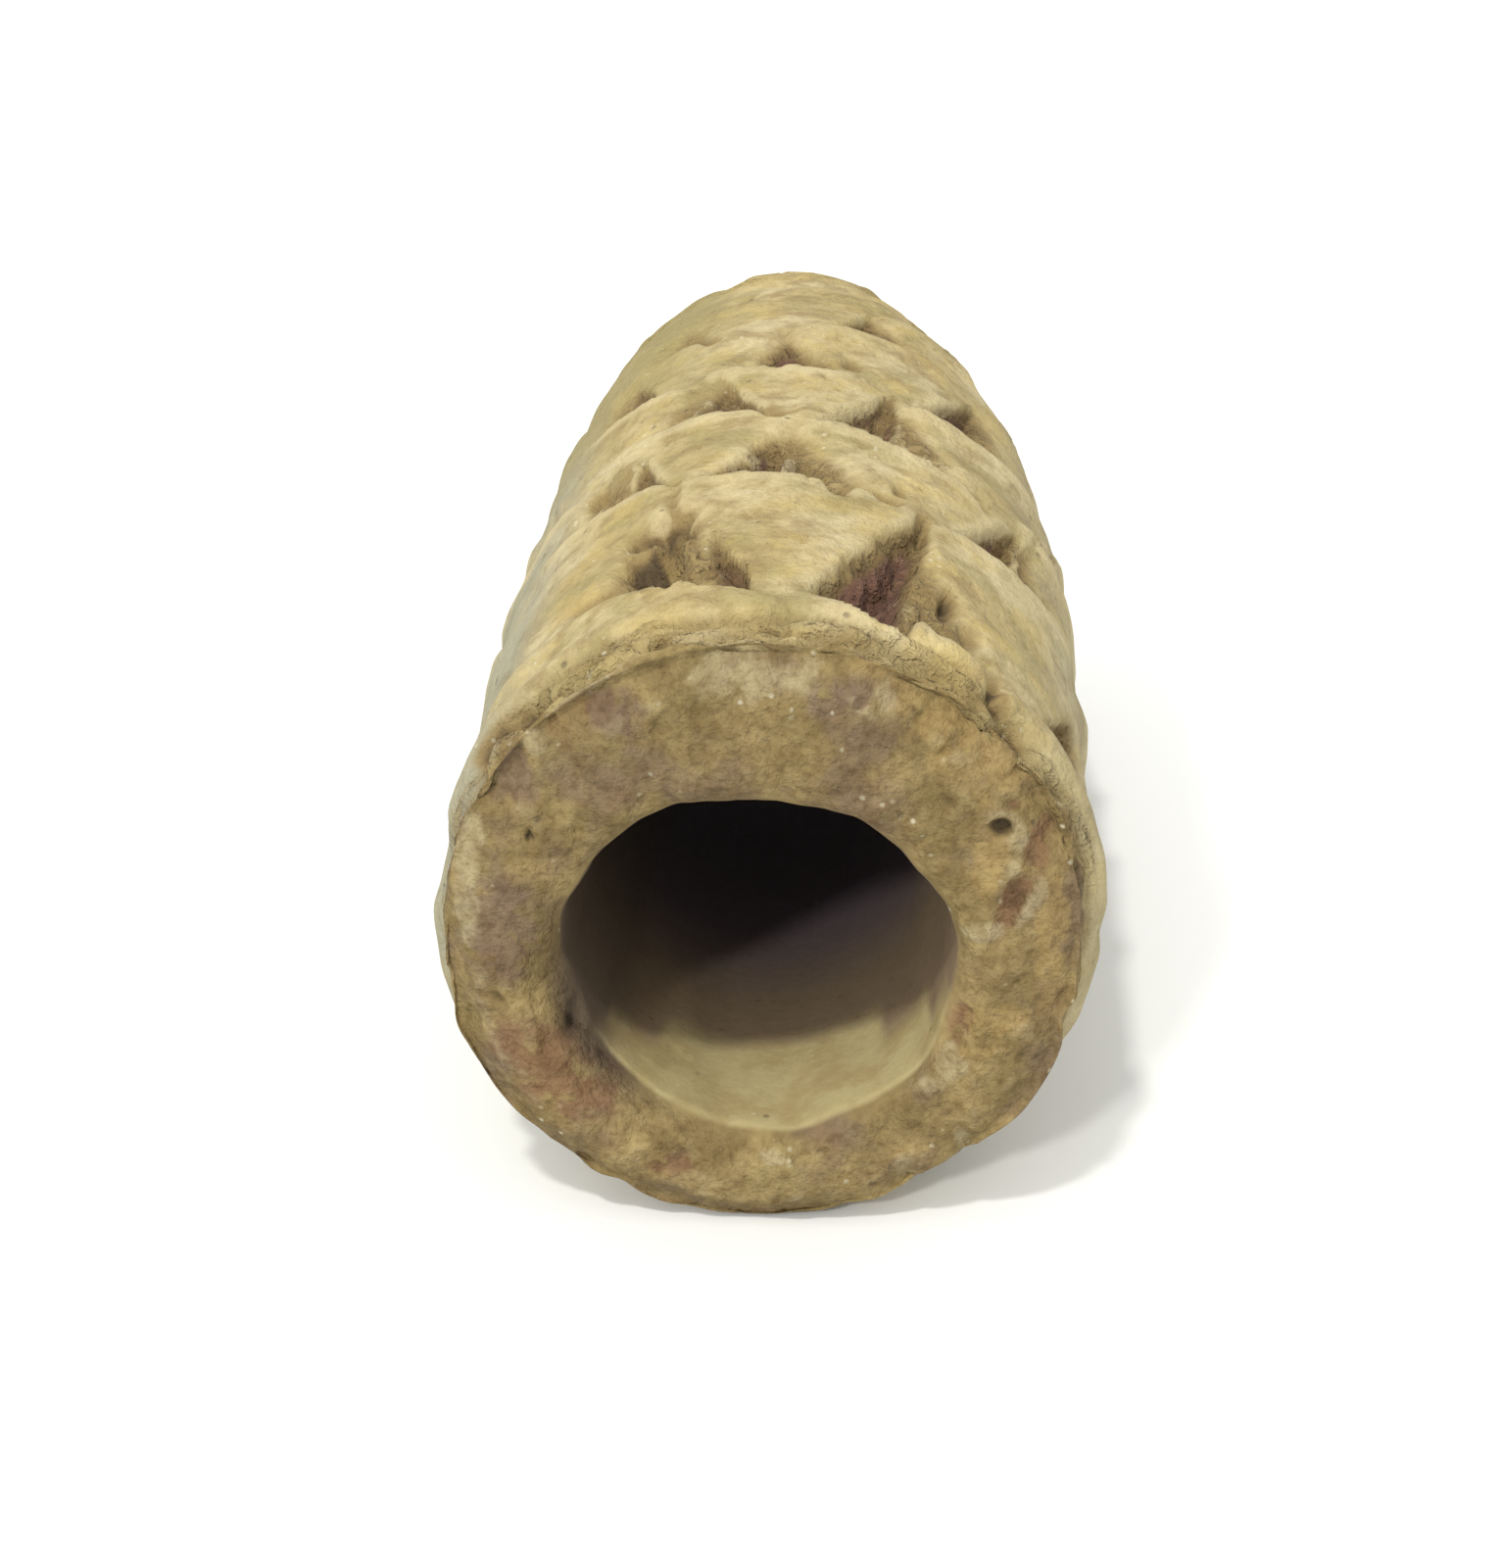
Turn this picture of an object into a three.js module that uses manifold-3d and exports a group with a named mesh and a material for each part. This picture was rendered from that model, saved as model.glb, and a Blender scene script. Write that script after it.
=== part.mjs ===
// A fired-clay cylinder seal: a thick-walled roller with a wide bore from end to end, whose
// wall is cut all round with staggered rows of three-sided notches. It lies on its side.
// Millimetres, +Z up. The axis runs along +Y from the front end, and the origin is at the
// bottom centre of the bounding box.
import * as THREE from "three";
import { ConvexGeometry } from "three/addons/geometries/ConvexGeometry.js";
import { mergeVertices } from "three/addons/utils/BufferGeometryUtils.js";
import Module from "manifold-3d";

// Driving dimensions
const length = 72;
const bodyRadius = 15; // at the fullest part of the barrel
const boreRadius = 8.2;
const boreDrop = 1; // the bore lies this far below the wall's own axis
const boreLip = 0.9; // how far the mouths are rounded open, along and across
const restHeight = 13.85; // from the axis down to the worn flat it lies on
const segments = 72;

// The wall's outline, as [share of the length from the front, share of the body radius].
const wallStations = [
  [0.008, 0.93], // front rim
  [0.03, 0.926], // lowered shoulder behind the rim
  [0.055, 0.975], // raised band
  [0.09, 0.971],
  [0.14, 0.982],
  [0.3, 0.998],
  [0.5, 1],
  [0.7, 0.982],
  [0.86, 0.932],
  [0.93, 0.885], // groove before the back rim
  [0.965, 0.888], // back rim
  [0.992, 0.86],
];
const stepsPerStation = 2;
const edgeRounding = 0.8; // how far the two faces stop short of the wall's outline

// How far the axis strays towards +X, as [share of the length from the front, millimetres].
const bow = [
  [0, -0.35],
  [0.15, -0.12],
  [0.35, 0],
  [0.55, -0.05],
  [0.8, -0.45],
  [1, -0.95],
];

// Where the wall swells or is worn away: which way each place faces (degrees from the top
// towards +X), its half-width in degrees, its size as a share of the radius, and the shares
// of the length between which it grows from nothing to that size.
const unevenPlaces = [
  { facing: 4, halfWidth: 44, size: 0.012, from: 0.06, to: 0 },
  { facing: -110, halfWidth: 8, size: 0.018, from: 0.1, to: 0 },
  { facing: -140, halfWidth: 10, size: -0.012, from: 0.1, to: 0 },
  { facing: 143, halfWidth: 16, size: -0.045, from: 0.12, to: 0 },
  { facing: 92, halfWidth: 8, size: -0.022, from: 0.05, to: 0 },
  { facing: 50, halfWidth: 26, size: -0.045, from: 0.78, to: 0.98 },
  { facing: -19, halfWidth: 6, size: -0.04, from: 0.955, to: 0.985 },
  { facing: 128, halfWidth: 24, size: -0.035, from: 0, to: 0.15 },
  { facing: -130, halfWidth: 22, size: -0.035, from: 0, to: 0.15 },
  { facing: 96, halfWidth: 20, size: -0.022, from: 0, to: 0.15 },
];

// The worn flat stops it rolling. Beyond the flat's edges the wear runs out at a slope.
const restFlat = { halfWidth: 3.8, from: 5, to: 55 }; // millimetres across and from the front
const wearSlope = { side: 12, end: 3 }; // degrees

// Rows of notches, front to back: where the row's base line lies, how far its notches reach
// from there towards the back, how far the row is turned, and how deep its notches are.
const notchesPerRow = 8;
const notchPitch = 360 / notchesPerRow;
const notchRows = [
  { base: 5.4, reach: 12.2, turn: -19, depth: 3 },
  { base: 20.4, reach: 10, turn: 5, depth: 2.3 },
  { base: 29.4, reach: 9.4, turn: -19, depth: 2.1 },
  { base: 39.8, reach: 8.8, turn: 0, depth: 2.1 },
  { base: 49.6, reach: 7.2, turn: -26, depth: 1.8 },
  { base: 57.8, reach: 6.6, turn: -11, depth: 1.5 },
];
const notchWidth = 36; // degrees of the wall, along the base line
const notchLean = -5; // degrees from a notch's middle to its deepest point
const deepestAt = 0.14; // of a notch's reach, from the base line
const cutterReach = 1.7; // how far a cutter runs on past the wall, as a share of its size
// The most by which each notch differs from its row: degrees turned, the share of its width,
// millimetres along the base line, and the shares of its reach and depth.
const wander = { turn: 1.6, width: 0.08, base: 0.4, reach: 0.07, depth: 0.16 };

// A chip broken from the front rim.
const rimChip = { facing: 103, halfWidth: 5, along: 2.2, depth: 0.9 };

const radians = THREE.MathUtils.degToRad;

// A repeatable figure between -1 and 1 that stands for the unsteadiness of a hand-held knife.
function unsteady(row, place, kind) {
  return Math.sin(row * 12.9 + place * 7.3 + kind * 4.1) * Math.cos(row * 3.7 - place * 5.9 + kind);
}

// A smooth curve through stations given as [share of the length, value], with the value, times
// the scale, as x and the distance along as y.
function smoothCurve(stations, scale) {
  const through = stations.map(([share, value]) => new THREE.Vector2(value * scale, share * length));
  return new THREE.SplineCurve(through).getPoints((through.length - 1) * stepsPerStation);
}

// The value that such a curve has at a distance along.
function valueAt(curve, along) {
  const next = Math.max(1, curve.findIndex((p) => p.y >= along));
  const [a, b] = [curve[next - 1], curve[next]];
  return THREE.MathUtils.mapLinear(along, a.y, b.y, a.x, b.x);
}

const outline = smoothCurve(wallStations, bodyRadius);
const axisPath = smoothCurve(bow, 1);

// The scale of the wall's radius at an angle and a distance along: 1 where it is even.
function unevenness(angle, along) {
  return unevenPlaces.reduce((scale, { facing, halfWidth, size, from, to }) => {
    const aside = THREE.MathUtils.euclideanModulo(angle - facing + 180, 360) - 180;
    const grown = THREE.MathUtils.inverseLerp(from, to, along / length);
    return scale + size * Math.exp(-((aside / halfWidth) ** 2)) * THREE.MathUtils.smoothstep(grown, 0, 1);
  }, 1);
}

// The whole closed profile: out over the front face, along the wall, in over the back face and
// forward through the bore.
function profile() {
  const front = outline[0];
  const back = outline.at(-1);
  const mouth = boreRadius + boreLip;
  return [
    new THREE.Vector2(mouth, 0),
    new THREE.Vector2(front.x - edgeRounding, 0),
    ...outline,
    new THREE.Vector2(back.x - edgeRounding, length),
    new THREE.Vector2(mouth, length),
    new THREE.Vector2(boreRadius, length - boreLip),
    new THREE.Vector2(boreRadius, boreLip),
    new THREE.Vector2(mouth, 0),
  ];
}

// The wall with its bore, before any notch is cut. Wall points are made uneven, bore points are
// lowered, and every point follows the bowed axis.
function piercedWall() {
  const geometry = new THREE.LatheGeometry(profile(), segments);
  const position = geometry.attributes.position;
  const wallStartsAt = (boreRadius + boreLip + bodyRadius * wallStations.at(-1)[1]) / 2;
  const point = new THREE.Vector3();
  for (let i = 0; i < position.count; i++) {
    point.fromBufferAttribute(position, i);
    if (Math.hypot(point.x, point.z) < wallStartsAt) {
      point.z -= boreDrop;
    } else {
      const angle = THREE.MathUtils.radToDeg(Math.atan2(point.x, point.z));
      const scale = unevenness(angle, point.y);
      point.x *= scale;
      point.z *= scale;
    }
    position.setXYZ(i, point.x + valueAt(axisPath, point.y), point.y, point.z);
  }
  return geometry;
}

// A point at an angle from the top towards +X, at a distance along, sunk below the wall.
function wallPoint(angle, along, sunk) {
  const out = valueAt(outline, along) * unevenness(angle, along) - sunk;
  const across = out * Math.sin(radians(angle)) + valueAt(axisPath, along);
  return new THREE.Vector3(across, along, out * Math.cos(radians(angle)));
}

// A three-sided pyramid whose point is the deepest place and whose edges pass through the
// notch's corners on the wall.
function notchCutter(corners, deepest) {
  const outer = corners.map((c) => c.clone().sub(deepest).multiplyScalar(cutterReach).add(deepest));
  return new ConvexGeometry([deepest, ...outer]);
}

// All the notches of one row, each a little different.
function rowOfNotches(row, r) {
  return Array.from({ length: notchesPerRow }, (_, n) => {
    const middle = row.turn + n * notchPitch + wander.turn * unsteady(r, n, 1);
    const half = (notchWidth / 2) * (1 + wander.width * unsteady(r, n, 2));
    const base = row.base + wander.base * unsteady(r, n, 3);
    const tip = row.base + row.reach * (1 + wander.reach * unsteady(r, n, 4));
    const depth = row.depth * (1 + wander.depth * unsteady(r, n, 5));
    const low = base + deepestAt * row.reach;
    const corners = [
      wallPoint(middle - half, base, 0),
      wallPoint(middle + half, base, 0),
      wallPoint(middle, tip, 0),
    ];
    return notchCutter(corners, wallPoint(middle + notchLean, low, depth));
  });
}

function chipCutter({ facing, halfWidth, along, depth }) {
  const corners = [
    wallPoint(facing - halfWidth, -along / 2, 0),
    wallPoint(facing + halfWidth, -along / 2, 0),
    wallPoint(facing, along, 0),
  ];
  return notchCutter(corners, wallPoint(facing, 0, depth));
}

const wasm = await Module();
wasm.setup();

// The wall with its underside worn away below five planes: the flat, and a slope up from each
// of its four edges. A slope is given as the way it leans and a point on the flat's edge.
function wornBelow(solid) {
  const { halfWidth, from, to } = restFlat;
  const edges = [
    { across: 1, along: 0, slope: wearSlope.side, x: -halfWidth, y: 0 },
    { across: -1, along: 0, slope: wearSlope.side, x: halfWidth, y: 0 },
    { across: 0, along: 1, slope: wearSlope.end, x: 0, y: from },
    { across: 0, along: -1, slope: wearSlope.end, x: 0, y: to },
  ];
  return edges.reduce((worn, { across, along, slope, x, y }) => {
    const lean = Math.sin(radians(slope));
    const normal = new THREE.Vector3(across * lean, along * lean, Math.cos(radians(slope)));
    return worn.trimByPlane(normal.toArray(), normal.dot(new THREE.Vector3(x, y, -restHeight)));
  }, solid.trimByPlane([0, 0, 1], -restHeight));
}

function toSolid(geometry) {
  const bare = geometry.clone();
  bare.deleteAttribute("normal");
  bare.deleteAttribute("uv");
  const merged = mergeVertices(bare, 1e-4);
  return new wasm.Manifold(
    new wasm.Mesh({
      numProp: 3,
      vertProperties: merged.attributes.position.array,
      triVerts: new Uint32Array(merged.index.array),
    }),
  );
}

function toGeometry(solid) {
  const { vertProperties, triVerts } = solid.getMesh();
  const geometry = new THREE.BufferGeometry();
  geometry.setAttribute("position", new THREE.BufferAttribute(vertProperties, 3));
  geometry.setIndex(new THREE.BufferAttribute(triVerts, 1));
  geometry.computeVertexNormals();
  return geometry;
}

function carvedWall() {
  const cutters = [...notchRows.flatMap(rowOfNotches), chipCutter(rimChip)];
  const bare = wornBelow(toSolid(piercedWall()));
  return toGeometry(cutters.reduce((wall, cutter) => wall.subtract(toSolid(cutter)), bare));
}

const firedClay = new THREE.MeshStandardMaterial({ color: 0xa8946a, roughness: 0.92, metalness: 0 });

const seal = new THREE.Mesh(carvedWall(), firedClay);
seal.name = "cylinder_seal";
seal.geometry.computeBoundingBox();
const box = seal.geometry.boundingBox;
seal.position.set(-(box.min.x + box.max.x) / 2, -length / 2, -box.min.z);

const group = new THREE.Group();
group.add(seal);
export default group;
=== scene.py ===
# A fired-clay cylinder seal lying on its side: one carved roller, modelled as one closed surface.
import math
import bpy
import numpy as np
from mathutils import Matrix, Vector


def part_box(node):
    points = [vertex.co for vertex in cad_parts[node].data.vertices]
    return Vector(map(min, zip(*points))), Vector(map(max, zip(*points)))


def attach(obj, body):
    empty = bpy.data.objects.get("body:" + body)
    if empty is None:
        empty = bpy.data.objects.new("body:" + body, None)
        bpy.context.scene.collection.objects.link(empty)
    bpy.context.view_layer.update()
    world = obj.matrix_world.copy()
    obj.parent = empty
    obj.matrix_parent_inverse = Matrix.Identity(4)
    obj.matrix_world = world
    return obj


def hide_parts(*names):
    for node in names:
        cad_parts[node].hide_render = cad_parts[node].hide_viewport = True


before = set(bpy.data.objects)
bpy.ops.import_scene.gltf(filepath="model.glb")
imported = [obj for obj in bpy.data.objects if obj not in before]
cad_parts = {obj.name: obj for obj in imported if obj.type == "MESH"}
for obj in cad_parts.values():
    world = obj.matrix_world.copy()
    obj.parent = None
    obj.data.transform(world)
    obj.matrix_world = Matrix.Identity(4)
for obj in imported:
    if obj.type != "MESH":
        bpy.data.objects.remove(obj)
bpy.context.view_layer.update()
mm = 0.001

low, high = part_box("cylinder_seal")
sealLength = (high.y - low.y) / mm
print("seal", round(sealLength, 2), "mm long,", round((high.x - low.x) / mm, 2), "mm across")

# What a user would change about the seal's shape: millimetres, and degrees from the top towards +X.
seal = {
    "fullRadius": 15.0,
    "axisHeight": 13.85,  # above the worn flat that it lies on, on z = 0
    # that flat: its half-width, where it ends, and how steeply, in degrees, the wear rises beyond it
    "restFlat": {"halfWidth": 3.8, "to": 55, "sideSlope": 12, "endSlope": 3},
    "axisAcross": 0.18,  # how far towards +X of the box's middle the straight axis lies
    "around": 340,  # vertices around
    "crowding": 0.35,  # how much closer together they stand at the top than on the average
    "wallSteps": 212,  # rows of vertices along the wall
    "wallCrowding": 0.5,  # how much closer together they stand at the front than on the average
    "frontSteps": 24,
    "backSteps": 12,
    "boreSteps": 26,
    "rimSteps": 6,
    "mouthSteps": 7,
    "boreRadius": 8.2,
    "boreDrop": 1.0,  # the bore lies this far below the wall's own axis
    "edgeRound": 0.35,  # radius of the rims
    "mouthRound": 1.3,  # radius of the bore's mouths
    # the wall's outline: share of the length from the front, share of the full radius
    "outline": [
        (0.0, 0.936), (0.012, 0.936), (0.024, 0.936), (0.036, 0.943), (0.048, 0.955), (0.06, 0.963),
        (0.075, 0.966), (0.12, 0.980), (0.3, 0.998), (0.5, 1.0), (0.7, 0.982), (0.86, 0.932), (0.93, 0.89),
        (0.965, 0.888), (1.0, 0.85),
    ],
    # how far the axis strays sideways: share of the length from the front, millimetres towards +X
    "bow": [(0.0, -0.35), (0.15, -0.12), (0.35, 0.0), (0.55, -0.05), (0.8, -0.45), (1.0, -0.95)],
    # swellings and worn places of the outline: where they face, half-width in degrees, share of the
    # radius, and the shares of the length between which they grow from nothing to their full size
    "uneven": [
        (4, 44, 0.012, 0.06, 0.0), (-110, 8, 0.018, 0.1, 0.0), (-140, 10, -0.012, 0.1, 0.0),
        (-152, 4, -0.03, 0.05, 0.0), (-118, 14, 0.018, 0.1, 0.0), (143, 16, -0.032, 0.12, 0.0),
        (103, 4, -0.042, 0.03, 0.0), (92, 8, -0.022, 0.05, 0.0), (50, 26, -0.045, 0.78, 0.98),
        (-19, 6, -0.04, 0.955, 0.985), (128, 24, -0.035, 0.0, 0.15), (-130, 22, -0.035, 0.0, 0.15),
        (96, 20, -0.022, 0.0, 0.15),
    ],
    # where the front mouth is narrower, or wider where negative: facing, half-width in degrees, millimetres
    "mouthShape": [(8, 38, 0.42), (-72, 28, -0.5)],
    "mouthShapeReach": (24, 6),  # that shape fades out between these distances from the front
    # where the front rim is worn soft: facing, half-width in degrees, how far it is worn back
    "softRim": [(52, 24, 0.9), (-100, 34, 0.6), (180, 60, 0.35)],
    "softRimReach": (2.3, 3.2),  # how far in from the rim, and how far along the wall
    # where the front mouth is worn soft, in the same way
    "softLip": (-112, 44, 1.3),
    "softLipReach": (2.8, 5.0),  # how far out from the bore, and how far into it
}

fullRadius = seal["fullRadius"]
axisHeight = seal["axisHeight"]

# Rows of notches, front to back: eight to a row, at even steps from its turn. A notch is a shallow triangle
# with its base towards the front and a deeper pit inside it.
notchRows = [
    {"base": 5.4, "reach": 12.2, "turn": -19, "floor": 0.9, "depth": 3.0},
    {"base": 20.4, "reach": 10.0, "turn": 5, "floor": 1.0, "depth": 2.3},
    {"base": 29.4, "reach": 9.4, "turn": -19, "floor": 1.0, "depth": 2.1},
    {"base": 39.8, "reach": 8.8, "turn": 0, "floor": 1.0, "depth": 2.1},
    {"base": 49.6, "reach": 7.2, "turn": -26, "floor": 0.7, "depth": 1.8},
    {"base": 57.8, "reach": 6.6, "turn": -11, "floor": 0.6, "depth": 1.5},
]
notch = {
    "perRow": 8,
    "width": 36,  # degrees along the base line
    "pitShift": -8,  # degrees
    "pitWidth": 14,
    "deepestAt": 0.12,  # of the reach, from the base line
    "deepestAside": 0.4,  # of the pit's half-width, from its middle
    "tipLean": 3,  # degrees from the notch's middle to its tip
    # the most by which a notch strays from its row: degrees, then shares, but millimetres for its base line
    "wander": {"turn": 1.6, "width": 0.08, "base": 0.4, "reach": 0.07, "depth": 0.15},
    "crest": 0.42,  # how far the ground in front of a base line stands proud
    "crestLength": 2.2,
    "crestStep": (-0.3, 0.1),  # where it starts, ahead of the base line
    "crestWidth": (1.25, 0.8),  # in half-widths of the notch: where it begins and where it is whole
    "cornerPower": 4.0,  # higher makes sharper corners
    "floorLowest": 0.07,  # of the reach, from the base line
    "floorEdge": 0.8,  # share of the way in over which the floor slopes down
    "pitEdge": 0.85,  # the same for the pit
    "pitBow": 1.4,  # higher makes the pit's walls steeper at their tops
    "stainEdge": 0.45,  # share of the way in by which the pit has its whole stain
    "stainDepth": 2.2,  # a pit of this depth is wholly stained
    "searchWide": 1.5,  # how far round a notch is worked out, in half-widths
    "searchAlong": (7, 2),  # and how far in front of it and behind it
}
# The notches with a shape of their own, by row and place in the row: the triangle's left, right and tip, its
# depth, then the pit's left, right, tip and deepest point and its depth. Points are (angle, along).
ownNotches = {
    (0, 0): ((-37, 8.5), (1, 4.5), (-19, 19.5), 1.3,
             (-12.5, 5.6), (-1.0, 4.8), (-12.5, 14.0), (-5, 6.3), 1.2),
    (0, 1): ((4, 5.4), (47, 3.9), (26, 17.0), 1.1, (4, 5.6), (25, 2.9), (28.5, 20.5), (17, 4.9), 3.1),
    (0, 2): ((54, 5.1), (90, 4.7), (73, 16.5), 1.4, (54, 5.2), (80, 4.6), (72, 15.5), (65, 6.6), 3.4),
    (0, 7): ((-74, 5.3), (-47, 7.9), (-60, 18.0), 0.7,
             (-66, 6.3), (-54, 7.5), (-60, 14.0), (-58, 8.3), 1.1),
    (1, 0): ((-22, 20.2), (23, 19.0), (0, 31.0), 1.2,
             (-18, 20.1), (9, 19.0), (-3, 28.0), (-2.5, 20.9), 2.4),
    (1, 1): ((31, 18.6), (68, 20.4), (56, 30.5), 1.2, (31, 18.5), (58, 20.5), (51, 28.5), (44, 21.2), 2.5),
    (1, 7): ((-55, 24.2), (-19, 21.4), (-38, 33.0), 0.8,
             (-37, 23.4), (-22, 21.7), (-31, 30.0), (-28, 23.2), 1.3),
    (2, 0): ((-39, 32.6), (1, 30.3), (-19, 40.0), 0.8,
             (-27, 33.0), (-4, 30.9), (-15, 39.0), (-10, 32.4), 1.3),
    (2, 1): ((4, 29.4), (44, 26.4), (24, 38.8), 1.2, (4, 29.3), (27, 27.3), (23, 39.5), (13, 29.8), 2.4),
    (3, 0): ((-18, 39.9), (16, 39.2), (-3, 50.0), 1.1, (-14, 39.8), (9, 39.1), (-2, 47.5), (0, 41.4), 1.7),
    (3, 1): ((23, 36.9), (61, 37.8), (47, 48.5), 1.2, (23, 36.7), (51, 37.7), (44, 47.0), (34, 38.7), 2.7),
    (3, 7): ((-57, 43.0), (-22, 38.3), (-41, 50.0), 0.8,
             (-45, 42.0), (-27, 39.2), (-38, 48.0), (-33, 41.0), 1.2),
    (4, 0): ((-47, 48.8), (-11, 48.2), (-25, 57.0), 1.0,
             (-43, 48.8), (-18, 48.4), (-28, 54.0), (-31, 49.8), 1.4),
    (4, 1): ((2, 49.2), (36, 49.6), (20, 58.5), 0.9, (6, 49.3), (25, 49.5), (19, 57.5), (13, 50.8), 1.5),
    (5, 0): ((-28, 56.6), (-1, 56.9), (-11, 65.0), 0.8,
             (-22, 56.6), (-7, 56.8), (-11, 63.5), (-15, 57.6), 1.2),
    (5, 1): ((19, 57.2), (48, 57.6), (34, 66.5), 0.9, (23, 57.3), (42, 57.5), (36, 66.0), (31, 59.4), 1.9),
}
# Small hollows, slits and lumps of the wall: angle, distance along, half-width in degrees, half-length,
# height
wallMarks = [
    (-24.5, 11.8, 3.2, 1.4, -2.3), (-19.8, 11.2, 1.8, 1.0, -1.9), (-21.5, 8.6, 1.8, 0.6, -0.9),
    (-19.5, 15.0, 3.2, 1.3, -2.1), (-26, 15.6, 3.0, 1.0, -1.5), (-31, 9.0, 5.5, 0.9, -1.2),
    (-20.3, 18.8, 1.2, 2.0, -0.4), (-22.3, 13.4, 2.0, 0.9, 0.8), (-17.5, 12.6, 1.6, 0.7, 0.5),
    (-14.5, 9.2, 2.6, 2.4, 0.8), (15.5, 9.2, 2.2, 1.5, 0.8), (19.5, 12.4, 1.6, 1.6, 0.4),
    (-1.0, 23.0, 2.2, 1.5, 1.3), (32.5, 10.2, 1.5, 1.1, -1.1), (36, 5.0, 4.0, 0.6, -1.0),
    (42, 4.3, 2.4, 0.8, -0.9), (29, 7.0, 1.6, 2.4, -0.5), (37, 8.0, 2.0, 1.2, -0.5),
    (10, 19.2, 2.0, 0.9, -1.1), (19, 19.6, 2.6, 1.0, -1.3), (22, 22.0, 1.6, 0.9, -0.5),
    (-21.5, 21.6, 1.8, 0.8, -0.4), (-42, 28.6, 2.0, 1.1, -0.8), (-47, 25.5, 2.0, 0.8, -0.6),
    (31, 28.4, 2.2, 0.9, -1.0), (40, 26.8, 2.8, 1.1, -1.0), (-3, 31.0, 2.8, 1.1, -0.9),
    (-24, 33.6, 2.0, 1.1, -0.8), (12, 42.8, 2.2, 1.1, -0.7), (-18.5, 48.6, 2.4, 1.0, -1.1),
    (-18.8, 1.6, 2.0, 0.6, -1.3), (-57, 3.7, 5.0, 0.8, -2.0), (-51, 3.0, 5.0, 0.8, -2.2),
    (-45, 2.2, 5.0, 0.7, -1.9), (-39, 1.6, 4.0, 0.5, -1.2), (49, 2.4, 3.4, 0.8, -1.1),
    (44, 3.0, 2.2, 0.6, -0.8), (27, 1.5, 6.0, 0.5, -0.9), (61, 1.8, 2.2, 0.7, -0.7),
    (36, 1.9, 4.0, 0.4, -0.6), (-4, 1.2, 4.5, 0.3, -0.5), (-11, 2.3, 4.0, 0.3, -0.6),
    (1, 2.2, 4.5, 0.3, -0.6), (9, 1.5, 4.5, 0.3, -0.6), (-30, 2.4, 4.0, 0.4, -0.5),
]
# Marks of the front end: across, up, half-width, half-height, lean to the right in degrees, height, stain;
# the dark stain is painted shade in holes and cracks
faceMarks = [
    (-8.1, -3.8, 0.3, 0.9, 15, -1.0, "dark"), (-7.5, -4.0, 0.3, 0.8, 20, 0.4, "pale"),
    (-6.8, -5.3, 0.5, 0.3, 0, 0.3, "pale"), (-5.2, -6.6, 0.3, 1.6, -48, -0.6, "dark"),
    (-2.0, -8.2, 0.4, 0.3, 0, -0.8, "dark"), (-1.2, -8.1, 0.3, 0.3, 0, 0.4, "pale"),
    (-0.2, -8.5, 0.5, 0.3, 0, -0.5, ""), (-4.0, -10.5, 0.9, 0.5, 0, -0.4, "rust"),
    (-9.8, 5.2, 0.16, 0.16, 0, -0.3, "dark"), (-12.6, 4.6, 0.8, 1.1, 0, 0.1, "pale"),
    (-12.7, 1.6, 0.5, 1.6, 0, 0.05, "pale"), (-10.8, 7.9, 1.3, 1.0, 20, -0.3, "purple"),
    (-9.6, 9.6, 0.7, 0.4, 50, 0.25, "pale"), (-7.4, 12.0, 1.6, 0.5, -30, 0.1, "pale"),
    (-6.2, 10.9, 1.3, 0.8, 0, 0, "purple"), (-11.2, 0.6, 1.4, 2.0, 0, -0.1, "purple"),
    (-9.0, -6.2, 2.6, 1.4, 30, 0, "rust"), (-0.6, 12.5, 2.2, 0.8, 0, 0, "pale"),
    (10.0, 6.0, 0.36, 0.3, 0, -0.55, "dark"), (10.4, 6.9, 0.34, 0.2, 20, -0.4, "rust"),
    (12.0, 7.0, 0.16, 0.16, 0, -0.4, ""), (9.1, 8.9, 0.35, 0.2, 60, -0.35, ""),
    (10.8, 8.2, 0.2, 0.7, 60, -0.35, ""), (11.7, 8.3, 0.2, 0.5, 70, -0.3, ""),
    (7.9, 9.6, 0.2, 0.6, 60, -0.25, ""), (11.7, 4.9, 0.5, 1.0, 20, -0.35, "rust"),
    (10.7, 2.7, 0.45, 1.5, 24, -0.4, "rust"), (11.4, 2.6, 0.2, 1.3, 30, 0.15, ""),
    (9.4, 1.2, 0.7, 0.35, 0, 0.2, "pale"), (8.5, -3.4, 0.55, 0.8, 10, -0.5, "rust"),
    (10.2, -3.4, 1.2, 0.8, 0, 0.1, "ochre"), (9.6, -4.6, 1.0, 0.3, -10, 0.15, "ochre"),
    (8.2, -5.3, 1.0, 0.5, 60, 0.08, "pale"), (7.2, -6.3, 0.6, 0.5, 0, 0.08, "pale"),
    (9.3, -9.9, 1.0, 0.3, 62, -0.3, "pale"), (6.8, -11.5, 1.2, 0.3, 66, -0.3, "pale"),
    (0.5, -10.3, 0.5, 0.25, 0, 0.1, "pale"), (6.5, -9.8, 0.6, 0.3, 0, 0.1, "ochre"),
    (3.1, 11.7, 1.0, 0.7, 0, 0, "purple"), (5.0, 11.6, 0.4, 0.5, 0, -0.3, "pale"),
    (8.6, 10.0, 1.6, 3.0, -48, 0, "ochre"), (4.6, 13.0, 1.1, 0.4, -10, 0.1, "ochre"),
    (12.3, 1.2, 0.6, 2.2, 0, 0, "ochre"), (9.5, 4.4, 0.7, 1.6, 10, 0, "ochre"),
]
# the dark kind is painted shade in holes and cracks; the others are the clay's own stains
stainKinds = ["dark", "pale", "rust", "purple", "ochre"]

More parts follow.
